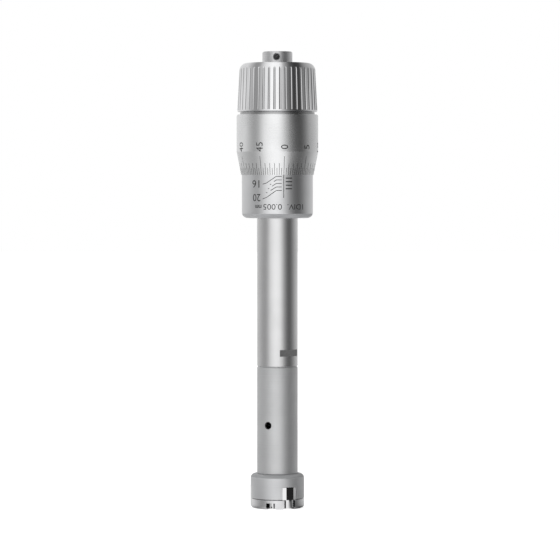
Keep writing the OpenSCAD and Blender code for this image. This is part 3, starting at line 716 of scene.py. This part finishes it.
def tent_material(name, centre, outwards, first, zones, strength):
    material, tree = new_material(name)
    tree.nodes.clear()
    where = add(tree, "ShaderNodeTexCoord").outputs["Object"]
    share = facing_share(tree, where, centre)
    measure = axis_distance(tree, where) if outwards else split(tree, where)["Z"]
    colour = panel_ramp(tree, share, first)
    for start, end, steps in zones:
        wires = {"Value": measure, "From Min": start, "From Max": end}
        change = add(tree, "ShaderNodeMapRange", wires, interpolation_type="SMOOTHSTEP").outputs["Result"]
        colour = blend(tree, change, colour, panel_ramp(tree, share, steps))
    glow = add(tree, "ShaderNodeEmission", {"Color": colour, "Strength": strength}).outputs[0]
    add(tree, "ShaderNodeOutputMaterial", {"Surface": glow})
    return material


print("tent is", 2 * TENT_R, "m wide")

# %% [markdown]
# The panels are lists of a bearing in degrees, 0 at the camera and rising to the right, and a brightness.
# Each height of the instrument meets its own part of the drum, so the drum has three zones: a soft one for
# the tubes, a crisper one for the thimble, and one for the knob and the screw. Under the instrument lies a
# round base card with a near and a far ring, which shows in the metal close to the floor. The camera sees
# neither the drum nor the card, and they throw no shadow.

# %% Panels of the tent
top_panels = [
    (-180, 0.75), (-100, 0.72), (-82, 0.48), (-68, 0.3), (-55, 0.33), (-36, 0.8), (-14, 1.05), (4, 1.0),
    (11, 0.82), (17, 0.48), (24, 0.3), (31, 0.18), (37, 0.09), (44, 0.07), (53, 0.04), (68, 0.06),
    (80, 0.21), (92, 0.34), (106, 0.42), (180, 0.75)]
upper_panels = [
    (-180, 0.75), (-100, 0.72), (-82, 0.48), (-68, 0.3), (-55, 0.33), (-36, 0.82), (-14, 1.02), (6, 1.0),
    (20, 0.68), (30, 0.32), (40, 0.1), (48, 0.04), (72, 0.04), (84, 0.12), (102, 0.4), (180, 0.8)]
lower_panels = [
    (-180, 0.72), (-142, 0.64), (-116, 0.54), (-95, 0.43), (-78, 0.37), (-66, 0.39), (-52, 0.55),
    (-40, 0.8), (-25, 0.96), (-10, 1.04), (5, 1.02), (17, 0.86), (29, 0.6), (41, 0.34), (53, 0.19),
    (62, 0.13), (72, 0.12), (80, 0.14), (95, 0.25), (112, 0.42), (140, 0.6), (180, 0.72)]
near_panels = [
    (-180, 0.8), (-98, 0.7), (-69, 0.4), (-52, 0.28), (-40, 0.38), (-25, 0.6), (-14, 0.85), (-5, 1.0),
    (15, 1.0), (28, 0.8), (40, 0.3), (52, 0.13), (64, 0.11), (73, 0.15), (83, 0.24), (96, 0.42),
    (112, 0.56), (180, 0.8)]
far_panels = [
    (-180, 0.8), (-121, 0.72), (-95, 0.5), (-78, 0.34), (-62, 0.3), (-48, 0.5), (-30, 0.95), (-10, 1.08),
    (10, 1.08), (26, 0.95), (34, 0.5), (37, 0.02), (74, 0.02), (80, 0.2), (100, 0.45), (130, 0.7),
    (180, 0.8)]
drum_zones = [(0.092, 0.102, upper_panels), (0.117, 0.123, top_panels)]
base_zones = [(0.026, 0.032, far_panels)]
WALL_CENTRE, WALL_STRENGTH = 0.1, 1.1
BASE_CENTRE, BASE_STRENGTH = 0.0, 1.0
print("tent of", len(drum_zones) + 1, "zones, base card of", len(base_zones) + 1)

# %% [markdown]
# The drum is a cone primitive with two equal radii. Its lower end is cut out, so that the floor stays open to
# the light, and the card takes its place just above the floor.

# %% Drum and base card
SIDES = 128
CARD_Z, FLOOR_Z = -0.01 * MM, -0.02 * MM


def stage_card(name, shape, material):
    mesh = bpy.data.meshes.new(name)
    shape.to_mesh(mesh)
    shape.free()
    mesh.materials.append(material)
    card = put(name, mesh)
    card.visible_camera = card.visible_shadow = False
    return card


drum = bmesh.new()
bmesh.ops.create_cone(drum, cap_ends=True, segments=SIDES, radius1=TENT_R, radius2=TENT_R, depth=TENT_H)
bmesh.ops.translate(drum, verts=drum.verts, vec=(0, 0, TENT_H / 2))
bottom = [face for face in drum.faces if face.calc_center_median().z < MM]
bmesh.ops.delete(drum, geom=bottom, context="FACES")
stage_card("light_tent", drum, tent_material(
    "tent_wall", WALL_CENTRE, False, lower_panels, drum_zones, WALL_STRENGTH))
disc = bmesh.new()
bmesh.ops.create_circle(disc, cap_ends=True, segments=SIDES, radius=TENT_R)
bmesh.ops.translate(disc, verts=disc.verts, vec=(0, 0, CARD_Z))
base_card = stage_card("base_card", disc, tent_material(
    "tent_base", BASE_CENTRE, True, near_panels, base_zones, BASE_STRENGTH))
base_card.visible_diffuse = False
print("drum and card of", SIDES, "sides")

# %% [markdown]
# The floor is white paper. Part of its white is light of its own, for the camera and for reflections, and
# the rest is a plain diffuse white, which still catches the soft shadow under the head. The world behind is
# white in the same way: fully white where it is seen, and dimmer where it only lights.

# %% White floor and background
PAPER_WHITE, PAPER_GLOW, PAPER_HALF = 0.8, 0.74, 3
ROOM_LIGHT, ROOM_SEEN = 0.6, 0.4


def seen_directly(tree):
    path = add(tree, "ShaderNodeLightPath").outputs
    either = math_node(tree, "MAXIMUM", path["Is Camera Ray"], path["Is Glossy Ray"])
    return math_node(tree, "MAXIMUM", either, path["Is Transmission Ray"])


paper, tree = new_material("white_paper")
tree.nodes.clear()
sheet = add(tree, "ShaderNodeBsdfDiffuse", {"Color": (*(PAPER_WHITE,) * 3, 1)})
glow = add(tree, "ShaderNodeEmission", {
    "Strength": math_node(tree, "MULTIPLY", seen_directly(tree), PAPER_GLOW)})
both = add(tree, "ShaderNodeAddShader", {0: sheet.outputs[0], 1: glow.outputs[0]})
add(tree, "ShaderNodeOutputMaterial", {"Surface": both.outputs[0]})
floor_mesh = bpy.data.meshes.new("floor")
corners = [(x * PAPER_HALF, y * PAPER_HALF, 0) for x, y in ((-1, -1), (1, -1), (1, 1), (-1, 1))]
floor_mesh.from_pydata(corners, [], [(0, 1, 2, 3)])
floor_mesh.materials.append(paper)
floor = put("floor", floor_mesh)
floor.location.z = FLOOR_Z

world = bpy.data.worlds.new("white_room")
bpy.context.scene.world = world
world.use_nodes = True
tree = world.node_tree
sky = tree.nodes["Background"].inputs
join(tree, (1, 1, 1, 1), sky["Color"])
seen = math_node(tree, "MULTIPLY", seen_directly(tree), ROOM_SEEN)
join(tree, math_node(tree, "ADD", seen, ROOM_LIGHT), sky["Strength"])
print("floor and world are white")

# %% [markdown]
# The photograph was taken from far away with a long lens: the circles of the head bend downwards and those
# of the ratchet's screw a little upwards, so the lens was level with the sleeve, some 0.8 m away. The focal
# length follows from the sensor's width, the distance and the number of pixels to a millimetre.

# %% Camera
IMAGE = 560
PIXELS_PER_MM = 1 / 0.2876
SENSOR = 36
EYE = Vector((0.75, -800, 93)) * MM
AIM = Vector((0.75, 0, 65.5)) * MM
lens = bpy.data.cameras.new("camera")
lens.sensor_width = SENSOR
lens.lens = SENSOR * PIXELS_PER_MM * (AIM - EYE).length / MM / IMAGE
lens.clip_start, lens.clip_end = 0.01, 20
camera = put("camera", lens)
camera.location = EYE
camera.rotation_euler = (AIM - EYE).to_track_quat("-Z", "Y").to_euler()
bpy.context.scene.camera = camera
bpy.context.scene.view_settings.view_transform = "Standard"
print("lens of", round(lens.lens, 1), "mm")
